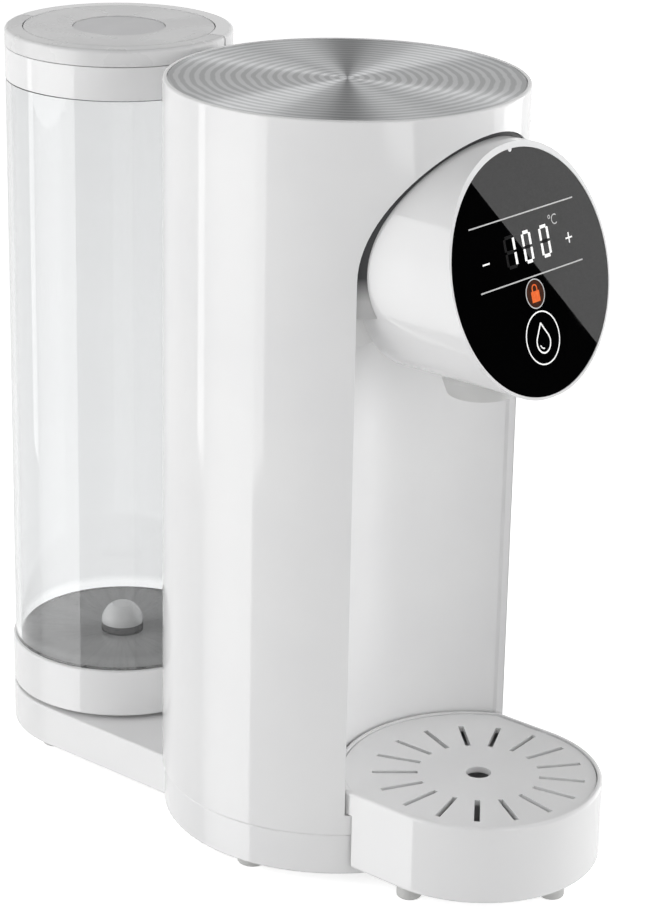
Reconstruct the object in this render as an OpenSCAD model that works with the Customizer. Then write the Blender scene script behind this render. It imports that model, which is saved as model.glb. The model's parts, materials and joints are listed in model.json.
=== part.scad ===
// Instant hot water dispenser: a round heater column, a clear lift-off water tank behind it,
// a tilted round touch panel with a spout below it, and a pull-out drip tray.
// Millimetres, +Z up, front towards -Y, origin on the table under the middle of the outline.

/* [Column] */
// Outer radius of the column
column_r = 70; // [62:0.5:80]
// Height of the column's top edge above the table
column_top = 307.4; // [280:0.2:340]
// Wall of the column shell
shell_wall = 2.5; // [2:0.1:3]
// White rim left around the metal top disc
top_rim = 1.8; // [1.4:0.1:2.2]
// Thickness of the metal top disc
disc_t = 1.2; // [0.8:0.1:1.6]

/* [Base] */
// Height of the feet
foot_h = 5; // [3:0.5:6]
// Radius of the feet
foot_r = 6; // [4:0.5:8]
// Height of the base cover from its lower edge to its top face
base_h = 17.4; // [16.4:0.2:20]
// How far the base stands back from the column
skirt_inset = 0.8; // [0.4:0.1:1.2]
// How far the slab under the tank stands out from the tank
slab_out = 1; // [0.5:0.1:5]
// Wall of the base cover
base_wall = 2.5; // [2:0.1:3]
// Thickness of the base pan
pan_t = 2.5; // [2:0.1:3]

/* [Cup bay] */
// Air between the head and the arch in the column
arch_air = 3; // [2.4:0.1:5]
// Air between the tray and each side of the bay
tray_air = 1.4; // [1:0.1:3]
// Height of the bay floor above the base cover
bay_sill = 8.6; // [8:0.1:10]
// Height of the column's wall left above the arch
arch_rim = 9.6; // [8:0.1:14]
// Height of the face's centre above the arch's centre
head_lift = 1.9; // [0:0.1:3]
// Drop of the bay ceiling below the face's centre
ceiling_drop = 28.4; // [26:0.2:30]
// Wall of the bay liner and of the head carrier
liner_t = 2.2; // [1.8:0.1:2.6]

/* [Head] */
// Radius of the tilted round face
face_r = 47; // [42:0.1:52]
// Distance of the face's centre in front of the column
face_out = 20.4; // [18:0.2:30]
// How much the head's top stands above a round face
crown = 1.3; // [0:0.1:2]
// Upward tilt of the face in degrees
face_tilt = 15.8; // [10:0.2:20]
// Wall of the head shell
head_wall = 2.2; // [1.8:0.1:2.8]
// White rim left around the touch glass
glass_rim = 1.1; // [0.8:0.1:2]
// Thickness of the touch glass
glass_t = 2.8; // [2:0.1:3.5]
// Width of the ledge that carries the touch glass
glass_ledge = 3.8; // [3.4:0.1:5]
// Distance of the head's flat back behind the column's front
head_sink = 24.4; // [22:0.1:25]

/* [Spout] */
// Distance of the spout's axis behind the column's front
spout_sink = 1.4; // [0:0.2:4]
// Radius of the spout at the head
spout_r = 15; // [13:0.1:16]
// Radius of the spout at its tip
spout_tip_r = 12.6; // [10:0.1:12.8]
// Length of the spout below the head
spout_drop = 6.4; // [5:0.2:10]
// Radius of the water way through the spout
spout_bore = 3; // [2:0.1:3.2]

/* [Tank] */
// Space between the column and the clear tank
tank_gap = 4.4; // [3:0.2:8]
// Outer radius of the clear tank
tank_r = 46; // [40:0.2:52]
// Wall of the clear tank
tank_wall_t = 2.2; // [1.8:0.1:2.6]
// Height of the tank floor's upper face above the base ring
floor_rise = 1.1; // [0.8:0.1:1.6]
// How far the tank's base ring stands out from the tank
tank_ring_out = 1; // [0.6:0.1:1.4]
// Gap seen between the base cover and the base ring
ring_lift = 1.6; // [1.2:0.1:2.4]
// Height of the base ring
ring_h = 20.3; // [18:0.1:24]
// Height of the lid's top face above the column's top edge
lid_rise = 1.4; // [0:0.1:4]
// Height of the handle's half ring
handle_h = 7; // [6:0.1:9]
// Width of the handle's half ring
handle_w = 7.6; // [6:0.1:9]
// Height of the collar below the handle
collar_h = 13.2; // [12:0.1:18]
// Radius of the inlay in the middle of the lid
inlay_r = 18.5; // [15:0.5:22]
// Angle of the handle's pivot line from the front, in degrees
handle_turn = 19.2; // [0:0.2:40]
// Drop of the handle's pivot line below the lid's top face
pivot_drop = 1.1; // [1:0.05:1.4]
// Radius of the handle's pivot pins
pivot_r = 0.6; // [0.5:0.05:0.7]

/* [Tank valve] */
// Radius of the valve's dome
valve_r = 9; // [8.4:0.1:10]
// Radius of the valve's stem
stem_r = 2.2; // [1.8:0.1:2.6]
// Outer radius of the tank's outlet nose
nose_r = 9; // [8.6:0.1:9.4]
// Inner radius of the tank's outlet nose
nose_bore = 6.5; // [6.2:0.1:6.8]
// Space under the outlet nose in the dock
nose_clear = 4; // [3.4:0.1:5]
// Turns of the valve spring
spring_turns = 6; // [4:1:7]
// Wire radius of the valve spring
spring_wire = 0.4; // [0.3:0.05:0.5]

/* [Drip tray] */
// Distance of the tray's round front centre in front of the column
tray_out = 5; // [3:0.5:10]
// Radius of the tray's round front
tray_r = 48.9; // [44:0.1:52]
// Height of the tray's underside
tray_z0 = 8.2; // [7:0.2:10]
// Height of the tray's rim above the bay floor
tray_rise = 10; // [8:0.2:14]
// Wall of the tray
tray_wall = 2; // [1.6:0.1:2.4]
// Thickness of the grate
grate_t = 2.5; // [2:0.1:3]
// Number of radial slots in the grate
slot_count = 17; // [8:1:24]
// Width of a slot
slot_w = 2.2; // [1.6:0.1:3]
// Radius at which the slots start
slot_in = 24; // [18:0.5:30]
// Radius at which the slots end
slot_out = 42; // [36:0.5:44]

/* [Pump] */
// Distance of the pump axis behind the column axis
pump_y = 36; // [35:0.5:37]
// Radius of the pump housing
pump_r = 18; // [17:0.5:18.5]
// Height of the pump housing
pump_h = 20; // [19:0.5:22]
// Radius of the pump motor
motor_r = 14; // [12:0.5:15]
// Height of the pump motor
motor_h = 32; // [28:0.5:34]
// Number of impeller blades
blade_count = 6; // [4:1:8]

/* [Heater] */
// Distance of the heater axis behind the column axis
heater_y = 14; // [13:0.5:16]
// Radius of the heater tube
heater_r = 16; // [14:0.5:17]
// Drop of the heater tube's upper end below the face's centre
heater_drop = 45.4; // [44:0.2:60]
// Free height between the pump motor and the heater
heater_rise = 1.5; // [1:0.1:4]

/* [Boards] */
// Width of the power board
board_w = 58; // [52:1:60]
// Height of the power board's lower edge above the pump motor
board_rise = 35.5; // [30:0.5:40]
// Drop of the power board's upper edge below the face's centre
board_drop = 24.4; // [20:0.2:40]
// Distance of the power board in front of the column wall
board_back = 15; // [14:0.5:18]

/* [Fits] */
// Gap between pieces that move past each other
gap = 0.3; // [0.25:0.05:0.4]
// Slip fit of fixed pieces, per side
slip = 0.15; // [0.1:0.05:0.2]
// Shadow gap between the column and its base, and above and below the clear tank
seam = 0.4; // [0.3:0.05:0.6]
// Running clearance of pins and shafts, per side
running = 0.05; // [0.03:0.01:0.08]

/* [Hidden] */
$fn = 96;
eps = 0.01;

// Places front to back: the outline runs from the tray's front to the slab's back.
tray_reach = column_r + tray_out;
face_reach = column_r + face_out;
spout_reach = column_r - spout_sink;
head_back = column_r - head_sink;
tank_offset = column_r + tank_gap + tank_r;
slab_r = tank_r + slab_out;
main_y = (tray_reach + tray_r - tank_offset - slab_r) / 2;
tank_y = main_y + tank_offset;
tray_y = main_y - tray_reach;
spout_y = main_y - spout_reach;

// Heights from the table up
pan_top = foot_h + pan_t;
base_top = foot_h + base_h;
bay_floor = base_top + bay_sill;
bay_half_w = max(face_r + arch_air, tray_r + tray_air);
arch_z = column_top - arch_rim - bay_half_w;
head_z = arch_z + head_lift;
carrier_z0 = head_z - ceiling_drop;

// Column and base
shell_in = column_r - shell_wall;
base_r = column_r - skirt_inset;
rim_h = 4.6;
rim_t = 2;
rim_r = shell_in - slip;
rim_top = base_top + rim_h;
ledge_w = 8.8;
ledge_r = rim_r - rim_t - ledge_w;
edge_f = 0.8;
foot_f = 1;
foot_inset = 5;
main_foot_x = base_r - foot_r - foot_inset;
main_foot_y = main_y - foot_r - rim_t;
tank_foot_x = slab_r - foot_r - foot_inset - foot_f;
tank_foot_y = tank_y + foot_r;
screw_r = 1.6;
screw_core = screw_r - gap;
screw_len = 6;
screw_head_r = 3;
screw_head_t = 1.8;
boss_r = 4;
boss_deep = 8;
boss_inset = 12;
boss_places = concat(
    [for (a = [-90, 33, 147]) [ledge_r * cos(a), main_y + ledge_r * sin(a)]],
    [for (a = [-25, 90, 205]) [(slab_r - boss_inset) * cos(a), tank_y + (slab_r - boss_inset) * sin(a)]]);

disc_r = column_r - top_rim;
disc_sink = 0.3;
disc_z0 = column_top - disc_sink - disc_t;
cap_t = 4;
cap_z0 = disc_z0 - cap_t;
cap_rib_in = 8;
cap_rib_t = 2;

// Bay: its curved wall ends where the opening's sides meet the column's outside.
liner_half_w = bay_half_w - slip;
bay_wall_y = sqrt(pow(column_r - gap, 2) - pow(liner_half_w, 2));
bay_r = norm([liner_half_w, tray_reach - bay_wall_y]);
flange_in = bay_half_w - rim_t;
flange_w = 8;
neck_r = 29;
neck_wall = 3;
neck_len = 10;

// Head
face_h = face_r * cos(face_tilt);
glass_r = face_r - glass_rim;
glass_sink = 0.2;
bezel_depth = glass_t + glass_sink;
ledge_t = 2.5;
board_t = 1.6;
head_under = head_z - face_h;
notch_r = 1.2;
lamp_w = 40;
lamp_h = 18;
tube_h = face_h + crown / 2;
spread = face_r - tube_h;
head_in = tube_h - head_wall;
head_seal_in = 0.8;
head_seal_drop = 16;
display_depth = bezel_depth + ledge_t;
display_rest = face_h - head_wall - gap;
display_r = (display_rest - (display_depth + board_t) * sin(face_tilt)) / cos(face_tilt);
spout_flange_w = 2;
spout_flange_x = spout_r + spout_flange_w - spread;
spout_lip = head_in - sqrt(pow(head_in, 2) - pow(spout_flange_x, 2)) + slip;
spout_flange_t = 2;
spout_flange_z = head_under + head_wall + spout_lip;
spout_mouth = 1.6;
spout_mouth_h = 3;
spout_top = spout_flange_z + spout_flange_t;
seal_w = 1.6;

// Hoses and the stubs they grip
hose_in = 3.4;
hose_out = 5;
hose_grip = 8;
spigot_r = 3;
spigot_bore = 2;
hose_sides = 10;
hose_bend = 15;
hose_lead = 10;

// Pump
duct_z = (pan_top + base_top - base_wall) / 2;
pump_top = pan_top + pump_h;
pump_wall = 4;
pump_lid = 1;
chamber_r = pump_r - pump_wall;
chamber_h = 7;
chamber_z0 = pump_top - chamber_h - pump_lid;
pump_eye_r = 4;
blade_t = 1.2;
blade_turn = 18;
blade_in = 2;
impeller_r = chamber_r - pump_lid;
hub_r = 3;
shaft_r = 1.5;
pump_out_z = chamber_z0 + chamber_h / 2;
pump_out_y = main_y + pump_y - pump_r / 2;
pump_out_x = pump_r + hose_lead;
pump_in_y = main_y + pump_y + pump_r + hose_grip;
motor_flange = 2;
motor_nub = 3;
motor_nub_r = 4;
motor_top = pump_top + motor_flange + motor_h + motor_nub;

// Heater
heater_cap_h = 12;
heater_cap_t = 3;
heater_cap_w = 2;
heater_wall = 2;
heater_z0 = motor_top + heater_rise + heater_cap_h;
heater_z1 = head_z - heater_drop;
heater_len = heater_z1 - heater_z0;
heater_cap_r = heater_r + heater_cap_w;
heater_in_z = heater_z0 - heater_cap_h / 2;
heater_in_x = heater_cap_r + hose_grip;
heater_out_z = heater_z1 + heater_cap_h + hose_grip;
band_h = 12;
band_t = 2;
band_arm = 16;
band_at = 0.14;
thermostat_r = 7;
thermostat_h = 7;
thermostat_pin = 3;
thermostat_at = 0.4;

// Power board
board_y = main_y + shell_in - board_back;
board_z0 = motor_top + board_rise;
board_z1 = head_z - board_drop;
rail_w = 4;
rail_d = 5;
rail_bite = 1;
rail_x = board_w / 2 - rail_bite;
relay = [14, 12, 18];
relay_gap = 12;
relay_drop = 12;
capacitor_r = 8;
capacitor_h = 14;
coil = [18, 10, 22];
part_rise = 16;
gland_r = 5;
gland_flange = 1.2;
gland_bore = 3.2;
gland_t = 2;
gland_out = 1.6;
gland_y = sqrt(pow(slab_r - base_wall, 2) - pow(gland_r + gland_flange, 2)) - slip;

// Tank and its dock
tank_ring_z0 = base_top + ring_lift;
tank_ring_z1 = tank_ring_z0 + ring_h;
tank_floor_z = tank_ring_z1 + floor_rise;
plateau_in = 7;
plateau_h = ring_lift - gap;
lip_w = 5;
lip_t = 2;
dock_wall = 3.2;
dock_bore = nose_r + seal_w;
dock_r = dock_bore + dock_wall;
dock_floor_t = 3.5;
dock_floor = pan_top + dock_floor_t;
dock_top = base_top + plateau_h;
dock_seal_drop = 5;
dock_seal_t = 2;
nose_z0 = dock_floor + nose_clear;
pin_r = 1.6;
pin_rise = 1.5;
pin_foot = 1;
pin_top = nose_z0 + pin_rise;
pin_z0 = pan_top + pin_foot;
dock_out_y = tank_y - dock_r - hose_grip;

ring_r = tank_r + tank_ring_out;
ring_wall = 2.6;
plateau_r = ring_r - plateau_in;
tank_in = tank_r - tank_wall_t;
tank_floor_t = 2.8;
tank_foot_r = ring_r - ring_wall - slip;
tank_foot_z = tank_floor_z - tank_floor_t;
shelf_t = 3;
neck_step = 1;
neck_out = tank_in + neck_step;
collar_out = 0.2;
collar_r = tank_r + collar_out;
collar_skin = 1.2;
collar_plate = 3.5;
collar_f = 0.3;
handle_f = 1.6;

// Lid and handle
lid_top = column_top + lid_rise;
collar_z1 = lid_top - handle_h;
collar_z0 = collar_z1 - collar_h;
neck_top = collar_z1 - collar_plate - gap;
lid_r = collar_r - handle_w;
ring_in = lid_r + gap;
lid_step = 1;
lid_bore = lid_r - lid_step;
plug_air = 0.8;
plug_r = lid_bore - plug_air;
lid_z0 = collar_z1 + gap;
plug_rise = 5;
plug_z0 = collar_z0 + plug_rise;
lid_wall = 2.6;
lid_roof = 3.4;
lid_f = 0.5;
gasket_rise = 2;
gasket_h = 2;
gasket_deep = 1.2;
split_gap = pivot_drop + slip;
pivot_z = lid_top - pivot_drop;
pivot_len = 5;
pivot_in = 2.8;
inlay_t = 1;
inlay_sink = 0.3;

// Valve
stem_z0 = pin_top + gap;
clip_h = 2;
clip_rise = 1;
clip_air = 1;
clip_z0 = stem_z0 + clip_rise;
clip_r = nose_bore - clip_air;
guide_drop = 11;
guide_z0 = tank_floor_z - guide_drop;
guide_t = 2;
guide_hole = 1.2;
seal_t = 2.6;
valve_z0 = tank_floor_z + running + seal_t;
valve_h = 8;
spring_z0 = clip_z0 + clip_h + gap;
spring_z1 = guide_z0 - gap;
spring_air = 1.7;
spring_r = stem_r + spring_air;
spring_rise = (spring_z1 - spring_z0 - 2 * spring_wire) / spring_turns;
spring_steps = 8;
spring_sides = 6;

// Drip tray
tray_top = bay_floor + tray_rise;
tray_back_air = 1;
tray_back_r = bay_r - tray_back_air;
shelf_z0 = bay_floor + gap;
tray_column_air = 0.8;
tray_clear_r = column_r + tray_column_air;
tray_edge_f = 1.4;
tray_low_f = 2;
tray_foot_in = 11;
tray_foot_back = 3;
tray_foot_r = foot_r - foot_f;
tray_foot_x = tray_r - tray_foot_in;
tray_feet_places = [[-tray_foot_x, tray_y + tray_foot_back], [tray_foot_x, tray_y + tray_foot_back],
    [0, tray_y - tray_foot_x]];
grate_sink = 0.6;
grate_z1 = tray_top - grate_sink;
grate_z0 = grate_z1 - grate_t;
grate_step = 1.5;
grate_f = 0.4;
grate_hole_r = 5;
slot_start = -143;

white = "whitesmoke";
inner_white = "gainsboro";
black = [0.06, 0.06, 0.07];
rubber = [0.16, 0.16, 0.17];
steel = "silver";
board_green = [0.1, 0.36, 0.2];

module on_main() {
    translate([0, main_y, 0]) children();
}

module on_tank() {
    translate([0, tank_y, 0]) children();
}

module on_tray() {
    translate([0, tray_y, 0]) children();
}

module on_pump() {
    translate([0, main_y + pump_y, 0]) children();
}

module on_heater() {
    translate([0, main_y + heater_y, 0]) children();
}

// Lying along +X or +Y from a point
module along_x(y, z) {
    translate([0, y, z]) rotate([0, 90, 0]) children();
}

module along_y(y, z) {
    translate([0, y, z]) rotate([-90, 0, 0]) children();
}

// Half outline of a round block with rounded upper and lower edges
module edge_half(r, z0, z1, f_top, f_low) {
    translate([0, z0 + f_low]) square([r, z1 - z0 - f_top - f_low]);
    translate([0, z0]) square([r - f_low, z1 - z0 - f_top]);
    translate([0, z0 + f_low]) square([r - f_top, z1 - z0 - f_low]);
    if (f_top > 0) translate([r - f_top, z1 - f_top]) circle(f_top);
    if (f_low > 0) translate([r - f_low, z0 + f_low]) circle(f_low);
}

module puck(r, z0, z1, f_top = 0, f_low = 0) {
    rotate_extrude() intersection() {
        edge_half(r, z0, z1, f_top, f_low);
        translate([0, z0]) square([r + 1, z1 - z0]);
    }
}

// Straight bar along Y with the same rounded edges
module bar(r, y0, y1, z0, z1, f_top = 0, f_low = 0) {
    translate([0, y1, 0]) rotate([90, 0, 0]) linear_extrude(y1 - y0) {
        edge_half(r, z0, z1, f_top, f_low);
        mirror([1, 0]) edge_half(r, z0, z1, f_top, f_low);
    }
}

module tube(r_out, r_in, z0, z1) {
    translate([0, 0, z0]) difference() {
        cylinder(h = z1 - z0, r = r_out);
        translate([0, 0, -1]) cylinder(h = z1 - z0 + 2, r = r_in);
    }
}

module rod(r, z0, z1) {
    translate([0, 0, z0]) cylinder(h = z1 - z0, r = r);
}

// Column circle joined to the slab that runs back under the tank
module keyhole(r_col, r_slab, z0, z1, f_top = 0, f_low = 0) {
    on_main() puck(r_col, z0, z1, f_top, f_low);
    on_tank() puck(r_slab, z0, z1, f_top, f_low);
    bar(r_slab, main_y, tank_y, z0, z1, f_top, f_low);
}

function unit(v) = v / norm(v);
function tangent(p, i) = unit(p[min(i + 1, len(p) - 1)] - p[max(i - 1, 0)]);
function ring_at(c, t, ref, r, n) =
    let (u = unit(cross(t, ref)), v = cross(t, u))
    [for (k = [0:n - 1]) c + r * (u * cos(360 * k / n) + v * sin(360 * k / n))];
function smooth_point(a, b, c, d, t) = 0.5 * (2 * b + (c - a) * t + (2 * a - 5 * b + 4 * c - d) * t * t
    + (3 * b - a - 3 * c + d) * t * t * t);
function smooth_route(p, n) = [for (i = [0:len(p) - 2]) for (k = [0:n - 1])
    smooth_point(p[max(i - 1, 0)], p[i], p[i + 1], p[min(i + 2, len(p) - 1)], k / n), p[len(p) - 1]];

// Round tube swept along a route, its rings turned about the reference direction
module swept(route, r, ref, n) {
    last = len(route) - 1;
    rings = [for (i = [0:last]) each ring_at(route[i], tangent(route, i), ref, r, n)];
    sides = [for (i = [0:last - 1]) for (k = [0:n - 1]) let (a = i * n + k, b = i * n + (k + 1) % n)
        each [[a, a + n, b + n], [a, b + n, b]]];
    start = [[for (k = [0:n - 1]) k]];
    end = [[for (k = [0:n - 1]) last * n + n - 1 - k]];
    polyhedron(rings, concat(sides, start, end));
}

module hose(points, ref) {
    route = smooth_route(points, 3);
    last = len(route) - 1;
    longer = concat([route[0] - tangent(route, 0)], route, [route[last] + tangent(route, last)]);
    difference() {
        swept(route, hose_out, ref, hose_sides);
        swept(longer, hose_in, ref, hose_sides);
    }
}

// Hollow pipe stub along X for a hose to grip
module stub_x(x0, x1) {
    translate([x0, 0, 0]) rotate([0, 90, 0]) tube(spigot_r, spigot_bore, 0, x1 - x0);
}

module base_pan() {
    color(inner_white) difference() {
        keyhole(base_r - base_wall - slip, slab_r - base_wall - slip, foot_h, pan_top);
        for (p = boss_places)
            translate([p.x, p.y, 0]) rod(screw_r + slip, foot_h - 1, pan_top + 1);
    }
}

module base_cover() {
    color(white) difference() {
        union() {
            difference() {
                keyhole(base_r, slab_r, foot_h, base_top, edge_f, edge_f);
                keyhole(base_r - base_wall, slab_r - base_wall, foot_h - 1, base_top - base_wall);
                on_main() rod(ledge_r, foot_h, base_top + 1);
            }
            on_main() tube(rim_r, rim_r - rim_t, base_top - base_wall, rim_top);
            on_main() tube(column_r - shell_wall / 2, rim_r - rim_t, base_top - base_wall, base_top + seam);
            on_tank() puck(plateau_r, base_top - base_wall / 2, dock_top, edge_f);
            for (p = boss_places)
                translate([p.x, p.y, 0]) rod(boss_r, pan_top, base_top - base_wall / 2);
        }
        on_tank() rod(dock_r + slip, foot_h, dock_top + 1);
        for (p = boss_places)
            translate([p.x, p.y, 0]) rod(screw_core, pan_top - 1, pan_top + boss_deep);
        along_y(tank_y, duct_z) rod(gland_r, slab_r - 2 * base_wall, slab_r + base_wall);
    }
}

module foot(r, h) {
    puck(r, 0, h, 0, foot_f);
}

module feet() {
    color(inner_white) for (s = [-1, 1]) {
        translate([s * tank_foot_x, tank_foot_y, 0]) foot(foot_r, foot_h);
        translate([s * main_foot_x, main_foot_y, 0]) foot(foot_r, foot_h);
    }
}

module base_screws() {
    color(steel) for (p = boss_places) translate([p.x, p.y, 0]) {
        rod(screw_core - running, foot_h - screw_head_t / 2, pan_top + screw_len);
        rod(screw_head_r, foot_h - screw_head_t, foot_h);
    }
}

module arch_cut(r, z_low, y_out) {
    translate([-r, -y_out, z_low]) cube([2 * r, y_out, arch_z - z_low]);
    translate([0, 0, arch_z]) rotate([90, 0, 0]) cylinder(h = y_out, r = r);
}

module main_shell() {
    color(white) on_main() difference() {
        puck(column_r, base_top + seam, column_top, edge_f);
        rod(shell_in, base_top, disc_z0);
        rod(disc_r + slip, disc_z0 - eps, column_top + 1);
        arch_cut(bay_half_w, bay_floor, column_r + 1);
    }
}

module bay_liner() {
    wall_top = carrier_z0;
    floor_z0 = bay_floor - liner_t;
    color(white) on_main() {
        intersection() {
            translate([0, -tray_reach, 0]) tube(bay_r + liner_t, bay_r, floor_z0, wall_top);
            translate([-liner_half_w, -column_r, 0]) cube([2 * liner_half_w, column_r, column_top]);
            union() {
                rod(rim_r, floor_z0, bay_floor);
                rod(column_r - gap, bay_floor, wall_top);
            }
        }
        intersection() {
            translate([0, -tray_reach, 0]) rod(bay_r + liner_t, floor_z0, bay_floor);
            rod(rim_r, floor_z0, bay_floor);
        }
        intersection() {
            tube(rim_r, rim_r - liner_t, rim_top, wall_top);
            union() for (s = [0, 1]) mirror([s, 0, 0])
                translate([flange_in, -column_r, 0]) cube([flange_w, column_r, column_top]);
        }
    }
}

module head_carrier() {
    color(inner_white) on_main() difference() {
        union() {
            intersection() {
                translate([0, -tray_reach, 0]) rod(bay_r + liner_t, carrier_z0, carrier_z0 + liner_t);
                rod(rim_r - liner_t - slip, carrier_z0, column_top);
                translate([-column_r, -head_back, 0]) cube([2 * column_r, column_r, column_top]);
            }
            intersection() {
                rod(rim_r, carrier_z0, cap_z0);
                translate([-column_r, -head_back, 0]) cube([2 * column_r, liner_t, column_top]);
            }
            translate([0, -head_back + liner_t, head_z]) rotate([90, 0, 0])
                cylinder(h = neck_len + liner_t, r = neck_r);
        }
        translate([0, -head_back + 2 * liner_t, head_z]) rotate([90, 0, 0])
            cylinder(h = neck_len + 4 * liner_t, r = neck_r - neck_wall);
    }
}

module top_cap() {
    rib_r = rim_r - cap_rib_in;
    color(inner_white) on_main() {
        puck(rim_r, disc_z0 - liner_t, disc_z0);
        difference() {
            tube(rib_r, rib_r - cap_rib_t, cap_z0, disc_z0 - eps);
            translate([-column_r, -column_r, 0]) cube([2 * column_r, column_r, column_top]);
        }
    }
}

module top_disc() {
    color(steel) on_main() puck(disc_r, disc_z0, disc_z0 + disc_t, disc_sink);
}

// Frame of the tilted face: its centre, with +Z out of the face and +Y up the slope
module on_face() {
    translate([0, main_y - face_reach, head_z]) rotate([90 - face_tilt, 0, 0]) children();
}

// Round block square to the tilted face, its depth counted back from the face
module from_face(r, near, far) {
    on_face() rod(r, -far, -near);
}

// Level tube, a little wider than high, so that its slanted end comes out round
module head_tube(inset, y_back) {
    r = tube_h - inset;
    translate([0, main_y - y_back, head_z + crown / 2]) rotate([90, 0, 0])
        linear_extrude(face_reach + face_r - y_back) {
            for (s = [-1, 1]) translate([s * spread, 0]) circle(r);
            square([2 * spread, 2 * r], center = true);
        }
}

module head_shell() {
    front = 2 * face_r;
    color(white) {
        difference() {
            head_tube(0, head_back);
            from_face(front, -front, 0);
            from_face(glass_r + slip, -1, bezel_depth);
            from_face(glass_r - glass_ledge, -1, display_depth + 1);
            difference() {
                head_tube(head_wall, head_back + head_wall);
                from_face(front, -front, display_depth);
            }
            translate([0, main_y - head_back + 1, head_z]) rotate([90, 0, 0])
                cylinder(h = head_wall + 2, r = neck_r + slip);
            translate([0, spout_y, 0]) rod(spout_r + slip, head_under - 1, spout_flange_z);
        }
        on_face() translate([0, glass_r, 0]) rod(notch_r - slip, -bezel_depth, -glass_sink);
    }
}

// Dark strip in the gap between the head and the arch
module head_seal() {
    low = head_z - head_seal_drop;
    color(rubber) difference() {
        on_main() intersection() {
            tube(column_r - head_seal_in, shell_in, low, column_top);
            arch_cut(bay_half_w - slip, low, column_r);
        }
        for (s = [-1, 1]) translate([s * spread, main_y, head_z + crown / 2]) rotate([90, 0, 0])
            cylinder(h = column_r, r = tube_h + slip);
    }
}

module touch_glass() {
    color(black) difference() {
        from_face(glass_r, glass_sink, bezel_depth);
        on_face() translate([0, glass_r, 0]) rod(notch_r, -bezel_depth - 1, 1);
    }
}

module display_board() {
    color(board_green) {
        from_face(display_r, display_depth, display_depth + board_t);
        on_face() translate([-lamp_w / 2, 1, -display_depth - eps]) cube([lamp_w, lamp_h, ledge_t - gap]);
    }
}

module spout() {
    tip_z = head_under - spout_drop;
    color("gainsboro", 0.85) translate([0, spout_y, 0]) difference() {
        union() {
            translate([0, 0, tip_z]) cylinder(h = spout_drop, r1 = spout_tip_r, r2 = spout_r);
            rod(spout_r, head_under - eps, spout_top);
            rod(spout_r + spout_flange_w, spout_flange_z, spout_top);
            rod(spigot_r, spout_flange_z, spout_top + hose_grip);
        }
        rod(spigot_bore, tip_z - 1, spout_top + hose_grip + 1);
        rod(spout_bore, tip_z - 1, head_under);
        translate([0, 0, tip_z - eps])
            cylinder(h = spout_mouth_h, r1 = spout_tip_r - spout_mouth, r2 = spout_bore);
    }
}

module spout_seal() {
    color(rubber) translate([0, spout_y, spout_top]) tube(spigot_r + seal_w, spigot_r + slip, 0, seal_w);
}

module outlet_hose() {
    y0 = main_y + heater_y;
    z0 = heater_out_z - hose_grip + 1;
    z1 = spout_top + seal_w + gap;
    high = head_z;
    color("lightgray") hose([
        [0, y0, z0],
        [0, y0, heater_out_z],
        [0, y0, heater_out_z + hose_in],
        [0, y0 - hose_in, high - hose_lead],
        [0, y0 - hose_bend, high],
        [0, (y0 + spout_y) / 2, high],
        [0, spout_y + hose_bend, high - hose_in],
        [0, spout_y + hose_in, high - hose_bend],
        [0, spout_y, z1 + hose_bend],
        [0, spout_y, z1 + hose_grip],
        [0, spout_y, z1]], [1, 0, 0]);
}

module heater_tube() {
    color(steel) on_heater() tube(heater_r, heater_r - heater_wall, heater_z0, heater_z1);
}

module heater_caps() {
    hollow_r = heater_r - 2 * heater_wall;
    color("dimgray") on_heater() {
        difference() {
            puck(heater_cap_r, heater_z0 - heater_cap_h, heater_z0, 0, edge_f);
            rod(hollow_r, heater_z0 - heater_cap_h + heater_cap_t, heater_z0 + 1);
            along_x(0, heater_in_z) rod(spigot_bore, 0, heater_in_x);
        }
        translate([0, 0, heater_in_z]) stub_x(heater_cap_r - heater_wall, heater_in_x);
        difference() {
            puck(heater_cap_r, heater_z1, heater_z1 + heater_cap_h, edge_f);
            rod(hollow_r, heater_z1 - 1, heater_z1 + heater_cap_h - heater_cap_t);
            rod(spigot_bore, heater_z1, heater_out_z);
        }
        tube(spigot_r, spigot_bore, heater_z1 + heater_cap_h - heater_wall, heater_out_z);
    }
}

module heater_bracket() {
    back_y = bay_r + liner_t - tray_reach;
    color(steel) for (at = [band_at, 1 - band_at]) on_main() {
        z0 = heater_z0 + at * heater_len - band_h / 2;
        z1 = z0 + band_h;
        difference() {
            union() {
                translate([0, heater_y, 0]) rod(heater_r + band_t, z0, z1);
                translate([-band_arm / 2, back_y - band_t, z0]) cube([band_arm, heater_y - back_y, band_h]);
            }
            translate([0, heater_y, 0]) rod(heater_r + running, z0 - 1, z1 + 1);
            translate([0, -tray_reach, 0]) rod(bay_r + liner_t, z0 - 1, z1 + 1);
        }
    }
}

module thermostats() {
    reach = heater_r + thermostat_h;
    color("darkslategray") on_heater() difference() {
        for (at = [thermostat_at, 1 - thermostat_at])
            translate([0, 0, heater_z0 + at * heater_len]) rotate([0, -90, 0]) {
                cylinder(h = reach, r = thermostat_r);
                translate([0, 0, reach]) cylinder(h = thermostat_pin, r = thermostat_pin);
            }
        rod(heater_r, heater_z0, heater_z1);
    }
}

module pump_housing() {
    in_len = pump_in_y - main_y - pump_y;
    color("dimgray") difference() {
        union() {
            on_pump() puck(pump_r, pan_top, pump_top, 0, edge_f);
            along_y(main_y + pump_y, duct_z) rod(spigot_r, 0, in_len);
            along_x(pump_out_y, pump_out_z) rod(spigot_r, 0, pump_out_x);
        }
        on_pump() rod(chamber_r, chamber_z0, pump_top + 1);
        on_pump() rod(pump_eye_r, duct_z - spigot_bore, chamber_z0 + 1);
        along_y(main_y + pump_y, duct_z) rod(spigot_bore, 0, in_len + 1);
        along_x(pump_out_y, pump_out_z) rod(spigot_bore, 0, pump_out_x + 1);
    }
}

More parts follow.
